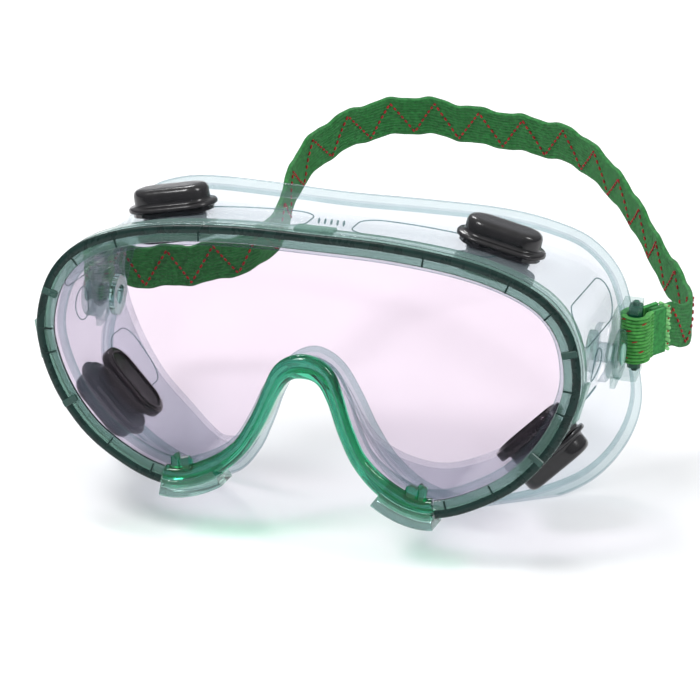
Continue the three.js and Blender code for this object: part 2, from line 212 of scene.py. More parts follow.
def subtract(o, cutters, union=()):
    """Joins and cuts closed meshes with the manifold solver, then bakes the result."""
    for kind, group in (("UNION", union), ("DIFFERENCE", cutters)):
        for c in group:
            m = o.modifiers.new("cut", "BOOLEAN")
            m.operation, m.object, m.solver = kind, c, "MANIFOLD"
    dg = bpy.context.evaluated_depsgraph_get()
    cut = bpy.data.meshes.new_from_object(o.evaluated_get(dg))
    o.modifiers.clear()
    o.data = cut
    for c in (*cutters, *union):
        bpy.data.objects.remove(c)


def helper(verts, faces, row=False):
    me = bpy.data.meshes.new("helper")
    me.from_pydata((np.asarray(verts) if row else to_row(verts)).tolist(), [], faces)
    bm = bmesh.new()
    bm.from_mesh(me)
    bmesh.ops.recalc_face_normals(bm, faces=bm.faces)
    bm.to_mesh(me)
    bm.free()
    o = bpy.data.objects.new("helper", me)
    scene.collection.objects.link(o)
    return o


# ---------------------------------------------------------------- materials
def material(name):
    m = bpy.data.materials.new(name)
    m.use_nodes = True
    m.node_tree.nodes.clear()
    return m, m.node_tree


def link(nt, a, b):
    nt.links.new(a, b)


def noise_bump(nt, scale, strength, distance=0.0002, detail=3.0):
    at = nt.nodes.new("ShaderNodeTexCoord")
    n = nt.nodes.new("ShaderNodeTexNoise")
    n.inputs["Scale"].default_value, n.inputs["Detail"].default_value = scale, detail
    link(nt, at.outputs["Object"], n.inputs["Vector"])
    b = nt.nodes.new("ShaderNodeBump")
    b.inputs["Strength"].default_value, b.inputs["Distance"].default_value = strength, distance
    link(nt, n.outputs["Fac"], b.inputs["Height"])
    return n, b


def ramp(nt, source, stops):
    r = nt.nodes.new("ShaderNodeValToRGB")
    while len(r.color_ramp.elements) < len(stops):
        r.color_ramp.elements.new(0.5)
    for e, (p, c) in zip(r.color_ramp.elements, stops):
        e.position, e.color = p, (*c, 1)
    link(nt, source, r.inputs["Fac"])
    return r


def clear(name, tint, haze_and_edge_shade_colour, haze, rough=0.05, ripple=0.12, scale=60):
    """Clear plastic: sight passes straight through, with a little haze and gloss that grows towards grazing
    angles, the same from both sides of a face. The colour mixed in at grazing angles also darkens edges seen
    edge-on: painted shade."""
    m, nt = material(name)
    n, b = noise_bump(nt, scale, ripple)
    through = nt.nodes.new("ShaderNodeBsdfTransparent")
    c = ramp(nt, n.outputs["Fac"], [(0.3, [x * 0.97 for x in tint]), (0.7, tint)])
    link(nt, c.outputs["Color"], through.inputs["Color"])
    p = nt.nodes.new("ShaderNodeBsdfPrincipled")
    p.inputs["Base Color"].default_value = (*haze_and_edge_shade_colour, 1)
    p.inputs["Roughness"].default_value = rough
    p.inputs["Specular IOR Level"].default_value = 0.7
    link(nt, b.outputs["Normal"], p.inputs["Normal"])
    # Layer Weight facing mixes in the grey-teal colour at grazing angles: gloss, plus painted shade along edges
    # seen edge-on
    lw = nt.nodes.new("ShaderNodeLayerWeight")
    power = nt.nodes.new("ShaderNodeMath")
    power.operation = "POWER"
    power.inputs[1].default_value = 4.0
    link(nt, lw.outputs["Facing"], power.inputs[0])
    add = nt.nodes.new("ShaderNodeMath")
    add.operation, add.use_clamp = "MULTIPLY_ADD", True
    add.inputs[1].default_value, add.inputs[2].default_value = 0.7, 0.03 + haze
    link(nt, power.outputs[0], add.inputs[0])
    mix = nt.nodes.new("ShaderNodeMixShader")
    link(nt, add.outputs[0], mix.inputs["Fac"])
    link(nt, through.outputs[0], mix.inputs[1])
    link(nt, p.outputs[0], mix.inputs[2])
    out = nt.nodes.new("ShaderNodeOutputMaterial")
    link(nt, mix.outputs[0], out.inputs["Surface"])
    return m


def glass(name, tint, shade, rough=0.04, ior=1.45, ripple=0.1, scale=90):
    """Thick tinted plastic that bends light; lamps reach through it."""
    m, nt = material(name)
    n, b = noise_bump(nt, scale, ripple)
    c = ramp(nt, n.outputs["Fac"], [(0.3, [x * 0.9 for x in tint]), (0.7, tint)])
    p = nt.nodes.new("ShaderNodeBsdfPrincipled")
    link(nt, c.outputs["Color"], p.inputs["Base Color"])
    p.inputs["Transmission Weight"].default_value = 1.0
    p.inputs["Roughness"].default_value = rough
    p.inputs["IOR"].default_value = ior
    link(nt, b.outputs["Normal"], p.inputs["Normal"])
    through = nt.nodes.new("ShaderNodeBsdfTransparent")
    through.inputs["Color"].default_value = (*shade, 1)
    lp = nt.nodes.new("ShaderNodeLightPath")
    mix = nt.nodes.new("ShaderNodeMixShader")
    link(nt, lp.outputs["Is Shadow Ray"], mix.inputs["Fac"])
    link(nt, p.outputs[0], mix.inputs[1])
    link(nt, through.outputs[0], mix.inputs[2])
    out = nt.nodes.new("ShaderNodeOutputMaterial")
    link(nt, mix.outputs[0], out.inputs["Surface"])
    return m


def solid(name, dark, light, rough, scale=200, bump=0.3, spec=0.5, distance=0.0002, sheen=0.0,
          wave=None):
    """Opaque plastic, rubber or cloth with mottled colour and a fine grain."""
    m, nt = material(name)
    n, b = noise_bump(nt, scale, bump, distance)
    c = ramp(nt, n.outputs["Fac"], [(0.3, dark), (0.7, light)])
    p = nt.nodes.new("ShaderNodeBsdfPrincipled")
    link(nt, c.outputs["Color"], p.inputs["Base Color"])
    r = ramp(nt, n.outputs["Fac"], [(0.25, [rough * 0.8] * 3), (0.75, [min(1, rough * 1.2)] * 3)])
    link(nt, r.outputs["Color"], p.inputs["Roughness"])
    p.inputs["Specular IOR Level"].default_value = spec
    p.inputs["Sheen Weight"].default_value = sheen
    last = b
    if wave:
        uv = nt.nodes.new("ShaderNodeUVMap")
        w = nt.nodes.new("ShaderNodeTexWave")
        w.inputs["Scale"].default_value, w.inputs["Distortion"].default_value = wave, 0.6
        link(nt, uv.outputs["UV"], w.inputs["Vector"])
        last = nt.nodes.new("ShaderNodeBump")
        last.inputs["Strength"].default_value, last.inputs["Distance"].default_value = 0.7, 0.0003
        link(nt, w.outputs["Fac"], last.inputs["Height"])
        link(nt, b.outputs["Normal"], last.inputs["Normal"])
    link(nt, last.outputs["Normal"], p.inputs["Normal"])
    out = nt.nodes.new("ShaderNodeOutputMaterial")
    link(nt, p.outputs[0], out.inputs["Surface"])
    return m


VINYL = clear("clear_vinyl", (0.935, 0.943, 0.960), (0.40, 0.48, 0.52), 0.024, 0.10, 0.2)
# The next two vinyls are darker copies of the same clear vinyl: painted shade on the rolled rim, the lens seat,
# the strip at the rim's edge and the raised outlines
VINYL_EDGE_SHADE = clear("vinyl_edge_painted_shade", (0.80, 0.88, 0.88), (0.20, 0.32, 0.31), 0.06, 0.12, 0.3)
VINYL_OUTLINE_SHADE = clear("vinyl_outline_painted_shade", (0.62, 0.74, 0.75), (0.05, 0.12, 0.12), 0.16, 0.15, 0.3)
LENS = clear("lens_sheet", (0.945, 0.880, 0.935), (0.05, 0.05, 0.05), 0.004, 0.02, 0.03, 20)
RING = clear("ring_green", (0.66, 0.78, 0.74), (0.18, 0.34, 0.28), 0.22, 0.10, 0.2)
RING_SIDE = clear("ring_side", (0.80, 0.88, 0.86), (0.22, 0.36, 0.32), 0.10, 0.08, 0.2)
# Opaque near-black material on the clear green ring: painted shade for the dark lines along its outer edge and
# across the band
RING_EDGE_SHADE_MAT = solid("ring_edge_painted_shade", (0.001, 0.012, 0.010), (0.004, 0.026, 0.021), 0.28, 300, 0.2, 0.3)
# Opaque dark green for the clear ring's cross ribs: painted shade
RIB_SHADE = solid("ring_rib_painted_shade", (0.008, 0.04, 0.032), (0.02, 0.07, 0.055), 0.25, 300, 0.2)
BRIDGE = glass("bridge_green", (0.06, 0.52, 0.30), (0.35, 0.75, 0.55), 0.06)
CLIP_GREEN = glass("clip_green", (0.42, 0.66, 0.58), (0.7, 0.86, 0.80), 0.07)
HARD = clear("clear_hard", (0.88, 0.93, 0.92), (0.10, 0.20, 0.18), 0.02, 0.08, 0.2)
DARK = solid("dark_green", (0.004, 0.05, 0.028), (0.01, 0.10, 0.055), 0.22, 260, 0.25)
BLACK = solid("vent_black", (0.003, 0.003, 0.0035), (0.009, 0.008, 0.010), 0.22, 420, 0.3, 0.5)
ELASTIC = solid("elastic", (0.013, 0.130, 0.026), (0.040, 0.280, 0.065), 0.8, 900, 0.6, 0.2, 0.0004, 0.1, 1.1)
SEAM = solid("overlock_thread", (0.10, 0.36, 0.10), (0.26, 0.62, 0.24), 0.7, 700, 0.5, 0.3, 0.0004, 0.1)
LIME = solid("lime_wrap", (0.025, 0.20, 0.028), (0.085, 0.38, 0.075), 0.7, 700, 0.5, 0.3, 0.0004, 0.1)
RED = solid("red_thread", (0.20, 0.008, 0.012), (0.42, 0.02, 0.02), 0.6, 900, 0.5, 0.3)
CORE = solid("hub_core", (0.16, 0.38, 0.30), (0.28, 0.52, 0.42), 0.3, 200, 0.2)


# ---------------------------------------------------------------- clear body
def wall(t, y, inwards):
    """A point of the body wall at t and depth y, some way in from its outer face."""
    t = np.asarray(t, float)
    y = np.broadcast_to(y, t.shape).astype(float)
    front = edge(t, -SEAT_INSET, y)
    rim = closed_curve(RIM_POINTS, t)
    s = smooth((y - (rim[..., 1] - FLARE)) / (FLARE - 1.5))[..., None]
    p = front * (1 - s) + rim * s
    p[..., 1] = y
    return p - normal_at(t) * np.broadcast_to(inwards, t.shape)[..., None]


def body_rows(count):
    t = np.arange(count) / count
    end = closed_curve(RIM_POINTS, t)[:, 1]
    seat_y = LENS_T + GAP
    nose = 1 - smooth((np.minimum(t, 1 - t) - 0.1) / 0.06)
    seat = 5 + (3.4 - 5) * nose
    cols, kinds = [], []

    def add(y, inwards, kind):
        cols.append(wall(t, y, inwards))
        kinds.append(kind)

    for f in np.linspace(0, 1, 7)[:-1]:
        add(seat_y + f * (end - FLARE - seat_y), 0.0, 0)
    for f in np.linspace(-FLARE, -1.0, 11):
        add(end + f, 0.0, 0)
    # Kind 2 rows take the darkest vinyl and kind 1 rows the darker rim vinyl: painted shade along the rim edge
    # and, further down, the lens seat
    add(end - 0.5, 0.2, 2)
    add(end - 0.1, 0.75, 2)
    add(end + 0.3, 2.0, 1)
    add(end + 0.4, 3.2, 1)
    add(end + 0.25, 4.1, 1)
    add(end - 0.4, 4.6, 1)
    add(end - 1.1, 4.3, 1)
    add(end - 1.6, 3.0, 1)
    for f in np.linspace(-2.2, -FLARE, 8):
        add(end + f, WALL_T, 0)
    for f in np.linspace(1, 0, 6)[1:]:
        add(seat_y + WALL_T + f * (end - FLARE - seat_y - WALL_T), WALL_T, 0)
    add(seat_y + WALL_T, WALL_T + 0.4, 1)
    add(seat_y + WALL_T, seat - 0.3, 1)
    add(seat_y + WALL_T - 0.3, seat, 1)
    add(seat_y + 0.3, seat, 1)
    add(seat_y, seat - 0.3, 1)
    return np.stack(cols, 1), kinds


def stadium_ring(length, width, n=14):
    r, s = width / 2, (length - width) / 2
    a = np.linspace(-math.pi / 2, math.pi / 2, n)
    right = np.stack([s + r * np.cos(a), r * np.sin(a)], -1)
    return np.concatenate([right, -right])


def stadium_solid(profile, length, width, n=14):
    """Stacked stadium outlines: profile holds (inset, height) pairs, closed at both ends."""
    rows = []
    for inset, z in profile:
        ring = stadium_ring(length - 2 * inset, width - 2 * inset, n)
        rows.append(np.c_[ring, np.full(len(ring), z)])
    return skin(rows)


def vent_frame(t, side, depth):
    t = np.array(t)
    out = normal_at(t) * [side, 0, 1]
    p = edge(t, -SEAT_INSET, depth) * [side, 1, 1]
    deep = np.array([0, 1, 0.0])
    return np.stack([np.cross(deep, out), deep, out], 1), p


def at_vent(part, where):
    basis, p = vent_frame(*where)
    return part[0] @ basis.T + p, part[1]


VENTS = {"top_right": (T_TOP_VENT, 1, 27), "low_right": (T_LOW_VENT, 1, 31),
         "top_left": (T_TOP_VENT, -1, 27), "low_left": (T_LOW_VENT, -1, 31)}


def disc(radius, x0, x1, y, z, sides=64, knurl=0.0, teeth=0):
    a = np.linspace(0, 2 * math.pi, sides, endpoint=False)
    r = radius + (knurl * np.cos(teeth * a) if teeth else 0 * a)
    c = 0.35
    rows = []
    for x, k in ((x0, -c), (x0 + c, 0), (x1 - c, 0), (x1, -c)):
        ring = [np.full(sides, x), y + (r + k) * np.cos(a), z + (r + k) * np.sin(a)]
        rows.append(np.stack(ring, -1))
    return skin(rows)


def mirrored(part, side):
    return (np.asarray(part[0]) * [side, 1, 1], part[1])


def build_body():
    rows, kinds = body_rows(288)
    v, f = skin(rows, True)
    n = len(kinds)
    # Slots 1 and 2 are the darker vinyls, painted shade on the rim, the lens seat and the strip at the rim's
    # edge
    index = [min(kinds[i % n], kinds[(i + 1) % n]) for i in range(len(f))]
    o = make("face_body", v, f, VINYL, "mask", None, [VINYL_EDGE_SHADE, VINYL_OUTLINE_SHADE], index, 32)
    bosses = [helper(*mirrored(disc(9, HUB[0] - 4.4, HUB[0], HUB[1], HUB[2]), s)) for s in (1, -1)]
    cuts = [helper(*disc(3.1, -90, 90, HUB[1], HUB[2], 32))]
    for where in VENTS.values():
        cuts.append(helper(*at_vent(stadium_solid([(0, -6), (0, 4)], 20, 9), where)))
    c = 0.4
    table = [(x, y, z) for x in (-c, c) for y in (-c, c) for z in (-c, 0)]
    quads = [(0, 1, 3, 2), (4, 6, 7, 5), (0, 4, 5, 1), (2, 3, 7, 6), (0, 2, 6, 4), (1, 5, 7, 3)]
    cuts.append(helper(table, quads, True))
    subtract(o, cuts, bosses)
    finish_piece(o, 32)
    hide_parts("face_frame")
    return o


build_body()


def bead_path(t0, t1, y0, y1, radius, n=96):
    """A rounded rectangle on the wall's outer face, t0..t1 along it and y0..y1 deep."""
    along_wall = closed_curve(RING_POINTS, np.linspace(t0, t1, 40))
    long = np.linalg.norm(np.diff(along_wall, axis=0), axis=1).sum()
    w, h = long / 2, (y1 - y0) / 2
    r = min(radius, w, h)
    pts = []
    corners = ((w - r, h - r, 0), (-w + r, h - r, 90), (-w + r, -h + r, 180), (w - r, -h + r, 270))
    for cx, cy, a0 in corners:
        for a in np.radians(np.linspace(a0, a0 + 90, 9)):
            pts.append((cx + r * math.cos(a), cy + r * math.sin(a)))
    pts = np.array(pts + pts[:1])
    d = np.r_[0, np.cumsum(np.linalg.norm(np.diff(pts, axis=0), axis=1))]
    s = np.linspace(0, d[-1], n, endpoint=False)
    x, y = np.interp(s, d, pts[:, 0]), np.interp(s, d, pts[:, 1])
    t = (t0 + t1) / 2 + x / w * (t1 - t0) / 2
    return wall(t, (y0 + y1) / 2 + y, -0.05)


def build_beads():
    """Plain moulded outlines on the wall: panels by the vents, at the temples and cheeks."""
    loops = [(0.437, 0.492, 14, 33, 6), (0.345, 0.378, 12, 60, 9), (0.309, 0.336, 28, 40, 5.9),
             (0.248, 0.288, 44, 68, 9)]
    parts = []
    for t0, t1, y0, y1, r in loops:
        for a, b in ((t0, t1), (1 - t1, 1 - t0)):
            parts.append(tube(bead_path(a, b, y0, y1, r), 0.2, 8, True))
    for k in range(5):  # plain ribs where the photograph has raised lettering
        t = np.linspace(0.4955 + 0.0022 * k, 0.497 + 0.0022 * k, 5)
        parts.append(tube(wall(t, np.linspace(21, 27, 5), -0.1), 0.35, 8))
    v, f = joined(parts)
    # The raised outlines take the darkest vinyl: painted shade along them
    make("body_outlines", v, f, VINYL_OUTLINE_SHADE, "mask", None)


build_beads()


# ---------------------------------------------------------------- lens and ring
def build_lens():
    t = np.arange(360) / 360
    rows = [edge(t, -SEAT_INSET - 0.3 - d, y) for d, y in
            ((0.35, 0.0), (0.08, 0.1), (0, 0.35), (0, 1.65), (0.08, 1.9), (0.35, 2.0))]
    v, f = skin(rows)
    make("lens_pane", v, f, LENS, "lens_set", "lens")


def along(section, t0, t1, steps):
    """Section of (n, y) pairs, or a function of t giving them, carried along the ring."""
    rows = []
    for t in np.linspace(t0, t1, steps):
        s = np.array(section(t) if callable(section) else section, float)
        rows.append(edge(np.full(len(s), t % 1.0), s[:, 0], s[:, 1]))
    return skin(rows)


def block(t, long, n0, n1, y0, y1, cut=0.25):
    """A small bevelled block on the outline, centred at t."""
    t = np.array(t % 1.0)
    n, p = normal_at(t), closed_curve(RING_POINTS, t)
    across = np.cross(n, [0, 1, 0])
    rows = []
    for s, k in ((-1, 1), (-1 + 2 * cut / long, 0), (1 - 2 * cut / long, 0), (1, 1)):
        e = cut * k
        q = [(n0 + e, y0 + e), (n1 - e, y0 + e), (n1 - e, y1 - e), (n0 + e, y1 - e)]
        rows.append([p + n * a + np.array([0, 1, 0]) * b + across * s * long / 2 for a, b in q])
    return skin(rows)


def build_ring():
    section = [(-5.4, -0.3), (-5.4, -1.5), (-5.15, -1.95), (-4.7, -2.1), (-3.5, -2.1), (-3.25, -1.85),
               (-2.95, -1.85), (-2.7, -2.1), (-1.5, -2.35), (-0.6, -2.2), (-0.15, -1.8), (0, -1.2),
               (0, 0.6), (-0.3, 0.8), (-0.3, 1.2), (0, 1.4), (0, 5.9), (-0.3, 6.5), (-1.5, 6.5),
               (-1.8, 6.2), (-1.8, -0.3)]
    # These faces get the near-black material: painted shade on the clear ring's outer front edge and lips
    painted_shade_sides, pale_sides = (0, 7, 8, 9, 12, 13, 16), (10, 11, 14, 15, 17, 18)
    kind = {**dict.fromkeys(painted_shade_sides, 1), **dict.fromkeys(pale_sides, 2)}
    v, f = along(section, T_BRIDGE + 0.002, 1 - T_BRIDGE - 0.002, 330)
    n = len(section)
    index = [kind.get(i % n, 0) if i < len(f) - 2 else 0 for i in range(len(f))]
    make("ring_band", v, f, RING, "lens_set", "lens_ring",
         [RING_EDGE_SHADE_MAT, RING_SIDE], index, 40)
    # Cross ribs in an opaque dark material: painted shade where the clear ring is thicker
    ribs = [block(t, 2.2, -5.0, -0.4, -2.7, -1.4, 0.3) for a in (0.272, 0.352) for t in (a, 1 - a)]
    v, f = joined(ribs)
    make("ring_cross_ribs", v, f, RIB_SHADE, "lens_set", None)
    # Thin near-black blocks across the band: painted shade lines
    lines = [block(t, 0.5, -5.2, -0.5, -2.36, -1.7, 0.12)
             for a in (0.205, 0.238, 0.305, 0.325, 0.385, 0.42, 0.46) for t in (a, 1 - a)]
    v, f = joined(lines)
    make("ring_cross_lines", v, f, RING_EDGE_SHADE_MAT, "lens_set", None)
    tabs = [block(t, 12, -0.5, 0.7, 0.5, RING_DEPTH - 0.6, 0.3) for t in (0.5, 0.315, 0.685)]
    v, f = joined(tabs)
    make("ring_snap_tabs", v, f, RING, "lens_set", None)


def build_bridge():
    def width(t):
        a = abs(t)
        return 4.8 + 2.5 * (1 - smooth(a / 0.07)) + 1.2 * smooth((a - 0.1) / 0.05)

    def section(t):
        w = float(width(t))
        s = [(-w, -0.3), (-w, -1.5), (-w + 0.35, -2.3), (-w * 0.82, -3.0), (-w * 0.72, -3.1),
             (-w * 0.62, -2.75), (-w * 0.52, -2.7), (-w * 0.42, -3.15), (-w * 0.3, -3.2),
             (-w * 0.18, -2.9), (-0.5, -2.3), (-0.12, -1.7), (0, -0.9)]
        return s + [(0, 6.0), (-0.4, 6.5), (-1.4, 6.5), (-1.8, 6.0), (-1.8, -0.3)]

    parts = [along(section, -T_BRIDGE, T_BRIDGE, 190)]
    for s in (1, -1):
        parts.append(block(s * T_LUMP, 4.6, -8.6, -4, FRONT - 0.5, -GAP, 0.9))
        parts.append(block(s * (T_LUMP + T_BRIDGE) / 2, 2.6, -9.4, -4, FRONT - 0.5, -GAP, 0.5))
        parts.append(block(s * (T_LUMP + T_BRIDGE) / 2 - s * 0.004, 1.4, -10.2, -8.6, FRONT - 0.5, -0.8, 0.3))
    v, f = joined(parts)
    make("nose_piece", v, f, BRIDGE, "lens_set", "nose_bridge", angle=42)


def build_clips():
    section = [(-2.2, -4.2), (2.6, -4.2), (3.2, -3.6), (3.2, 7.6), (2.8, 8), (-1.5, 8),
               (-1.5, 6.9), (0.35, 6.9), (0.35, -3.3), (-2.2, -3.3)]
    for name, s in (("right", 1), ("left", -1)):
        v, f = mirrored(along(section, T_CLIP, T_BRIDGE, 14), s)
        make("ring_clip_block_" + name, v, f, CLIP_GREEN, "lens_set", "ring_clip_" + name,
             bevel=0.22)


build_lens()
build_ring()
build_bridge()
build_clips()


# ---------------------------------------------------------------- vents
def build_vents():
    dome = [(4.6, 6.2), (2.6, 6.0), (2.4, 5.6), (2.4, 1.7), (0.35, 1.7), (0, 1.95), (0, 2.7), (0.35, 3.15),
            (1.5, 3.25), (1.95, 3.6), (2.0, 4.4), (2.05, 6.6), (2.35, 7.5), (3.0, 8.1), (4.0, 8.38), (5.5, 8.4)]
    cap = stadium_solid(dome, 27.4, 16.2, 18)
    retainer = stadium_solid([(4, -7.45), (0.6, -7.7), (0.15, -7.5), (0, -7.1), (0, -5.0), (0.3, -4.6),
                              (2.5, -4.6), (2.6, -5.0), (2.8, -6.3), (4.5, -6.4)], 25, 14, 18)
    rim_line = tube(np.c_[stadium_ring(21.5, 10.5, 18), np.full(36, -7.75)], 0.3, 8, True)
    for place, where in VENTS.items():
        v, f = at_vent(cap, where)
        make("vent_dome_" + place, v, f, BLACK, "vent_cap_" + place + "_body", "vent_cap_" + place,
             angle=50)
        v, f = joined([at_vent(retainer, where), at_vent(rim_line, where)])
        make("vent_plate_" + place, v, f, BLACK, "mask", "vent_retainer_" + place, angle=50)


build_vents()


# ---------------------------------------------------------------- hubs
def build_hubs():
    for name, s in (("right", 1), ("left", -1)):
        disc_part = disc(7.5, HUB[0] + 2.2, HUB[0] + 4, HUB[1], HUB[2], 192, 0.22, 48)
        shaft = disc(2.8, HUB[0] - 7, HUB[0] + 2.5, HUB[1], HUB[2], 40)
        v, f = mirrored(joined([disc_part, shaft]), s)
        make("hub_disc_" + name, v, f, HARD, "mask", "hub_button_" + name, angle=50)
        v, f = mirrored(disc(3.4, HUB[0] + 3.7, HUB[0] + 4.45, HUB[1], HUB[2], 48), s)
        make("hub_centre_" + name, v, f, CORE, "mask", None, angle=50)


build_hubs()

for name, mat, width in [(n, CLIP_GREEN, 0.3) for n in ("hub_washer_left", "hub_washer_right")] + [
        (n, HARD, 0.35) for n in ("strap_clip_left", "strap_clip_right")] + [
        (n, DARK, 0.3) for n in ("strap_bar_left", "strap_bar_right")] + [
        ("vent_seat_" + place, BLACK, 0.25) for place in VENTS]:
    node = nodes[name]
    node.data.materials.clear()
    node.data.materials.append(mat)
    finish_piece(node, 38, width)


# ---------------------------------------------------------------- strap
def clip_pose(p, side):
    """From a strap clip's own frame (hub at the origin) to the lens frame."""
    p = np.asarray(p, float)
    c, s = math.cos(TILT), math.sin(TILT)
    q = np.stack([p[..., 0], c * p[..., 1] - s * p[..., 2], s * p[..., 1] + c * p[..., 2]], -1) + HUB
    return q * [side, 1, 1]


def leg_point(turn, reach, side):
    return clip_pose(BAR + [reach * math.cos(turn), reach * math.sin(turn), 0], side)


def centripetal(points, samples):
    """Open centripetal Catmull-Rom curve through points, evenly sampled by length."""
    p = np.asarray(points, float)
    p = np.vstack([2 * p[0] - p[1], p, 2 * p[-1] - p[-2]])
    out = []
    for i in range(1, len(p) - 2):
        a, b, c, d = p[i - 1:i + 3]
        k0, k1, k2 = (max(np.linalg.norm(v), 1e-6) ** 0.5 for v in (b - a, c - b, d - c))
        m1 = ((b - a) / k0 - (c - a) / (k0 + k1) + (c - b) / k1) * k1
        m2 = ((c - b) / k1 - (d - b) / (k1 + k2) + (d - c) / k2) * k1
        w = np.linspace(0, 1, 60, endpoint=False)[:, None]
        square, cube = -3 * b + 3 * c - 2 * m1 - m2, 2 * b - 2 * c + m1 + m2
        out.append(b + m1 * w + square * w ** 2 + cube * w ** 3)
    fine = np.vstack(out + [p[-2:-1]])
    d = np.r_[0, np.cumsum(np.linalg.norm(np.diff(fine, axis=0), axis=1))]
    s = np.linspace(0, d[-1], samples)
    return np.stack([np.interp(s, d, fine[:, k]) for k in range(3)], -1), s


STEPS = 640
strap_line, strap_s = centripetal(
    [leg_point(LEAVE["left"], r, -1) for r in (5.6, 7.6, LEG)] + STRAP_ROUTE
    + [leg_point(LEAVE["right"], r, 1) for r in (LEG, 7.6, 5.6)], STEPS)
u = strap_s / strap_s[-1]
tilt = TILT + math.radians(16) * smooth(np.minimum(u, 1 - u) / 0.3)
strap_up = np.stack([0 * u, -np.sin(tilt), np.cos(tilt)], -1)
strap_along = unit(np.gradient(strap_line, axis=0))
strap_across = unit(np.cross(strap_up, strap_along))


def on_strap(s, w, h):
    """A point at length s, w across its width and h off its middle."""
    def at(a):
        return np.stack([np.interp(s, strap_s, a[:, k]) for k in range(3)], -1)
    w, h = np.asarray(w)[..., None], np.asarray(h)[..., None]
    return at(strap_line) + at(strap_up) * w + at(strap_across) * h


def build_strap():
    ribs = 13
    w = np.linspace(-1, 1, ribs * 4 + 1)
    rib = 0.56 + 0.24 * np.abs(np.sin(w * ribs * math.pi / 2)) ** 0.5
    fall = np.clip((1 - np.abs(w)) / 0.06, 0, 1) ** 0.5
    half = rib * (0.35 + 0.65 * fall)
    section_w = np.r_[w, w[::-1][1:-1]]
    section_h = np.r_[half, -half[::-1][1:-1]]
    wave = (0.65 * np.sin(2 * math.pi * strap_s / 15)
            + 0.14 * np.sin(2 * math.pi * strap_s / 6.3 + 1))
    ease = smooth(np.minimum(strap_s, strap_s[-1] - strap_s) / 10)
    width = (STRAP_W / 2) * np.ones(STEPS)
    pucker = 0.22 * ease * np.sin(2 * math.pi * strap_s / 7.5 + 0.7)
    rows = np.empty((STEPS, len(section_w), 3))
    top, low = width + wave * ease, width - wave * ease * 0.8
    for i in range(STEPS):
        ww = np.where(section_w > 0, section_w * top[i], section_w * low[i])
        hh = section_h + pucker[i] * (1 - section_w ** 2) * 0.6
        rows[i] = strap_line[i] + ww[:, None] * strap_up[i] + hh[:, None] * strap_across[i]
    v, f = skin(rows)
    o = make("strap_band", v, f, ELASTIC, "strap_set", "strap", angle=70)
    uv = o.data.uv_layers.new(name="UVMap")
    n = len(section_w)
    idx = np.empty(len(o.data.loops), int)
    o.data.loops.foreach_get("vertex_index", idx)
    flat = np.stack([strap_s[np.minimum(idx // n, STEPS - 1)], section_w[idx % n] * 7.5], -1)
    uv.data.foreach_set("uv", flat.ravel())
    return o


def build_stitches():
    """Red zigzag stitching: short raised dashes on both faces, 15 mm a turn."""
    parts = []
    pitch, reach, step, dash = 15.0, 6.3, 2.2, 1.25
    leg = math.hypot(pitch / 2, 2 * reach)
    total = (strap_s[-1] - 8) / (pitch / 2) * leg
    for k in range(int(total / step)):
        d = k * step + np.linspace(0, dash, 5)
        phase = d / leg
        s = 4 + phase * pitch / 2
        tri = 2 * np.abs((phase / 2) % 1 * 2 - 1) - 1
        for face in (-1, 1):
            h = face * (0.86 + 0.1 * np.sin(np.linspace(0, math.pi, 5)))
            fade = smooth(np.minimum(s, strap_s[-1] - s) / 10)
            pucker = 0.132 * np.sin(2 * math.pi * s / 7.5 + 0.7) * fade
            h = h + pucker * (1 - (tri * reach / 7.5) ** 2)
            parts.append(tube(on_strap(s, tri * reach, h), 0.36, 6))
    v, f = joined(parts)
    make("strap_stitching", v, f, RED, "strap_set", None, angle=60)


def wrap_path():
    """Middle line of the strap end doubled round its bar, in the loop's own plane."""
    r, off = 3.55, 1.9
    b = math.asin(off / r)
    a = np.linspace(b, 2 * math.pi - b, 60)
    arc = np.stack([r * np.cos(a), r * np.sin(a)], -1)
    x = np.linspace(LEG, r * math.cos(b), 22)[:-1]
    p = np.vstack([np.c_[x, np.full(21, off)], arc, np.c_[x[::-1], np.full(21, -off)]])
    for _ in range(6):
        p[1:-1] = (p[:-2] + 2 * p[1:-1] + p[2:]) / 4
    return p


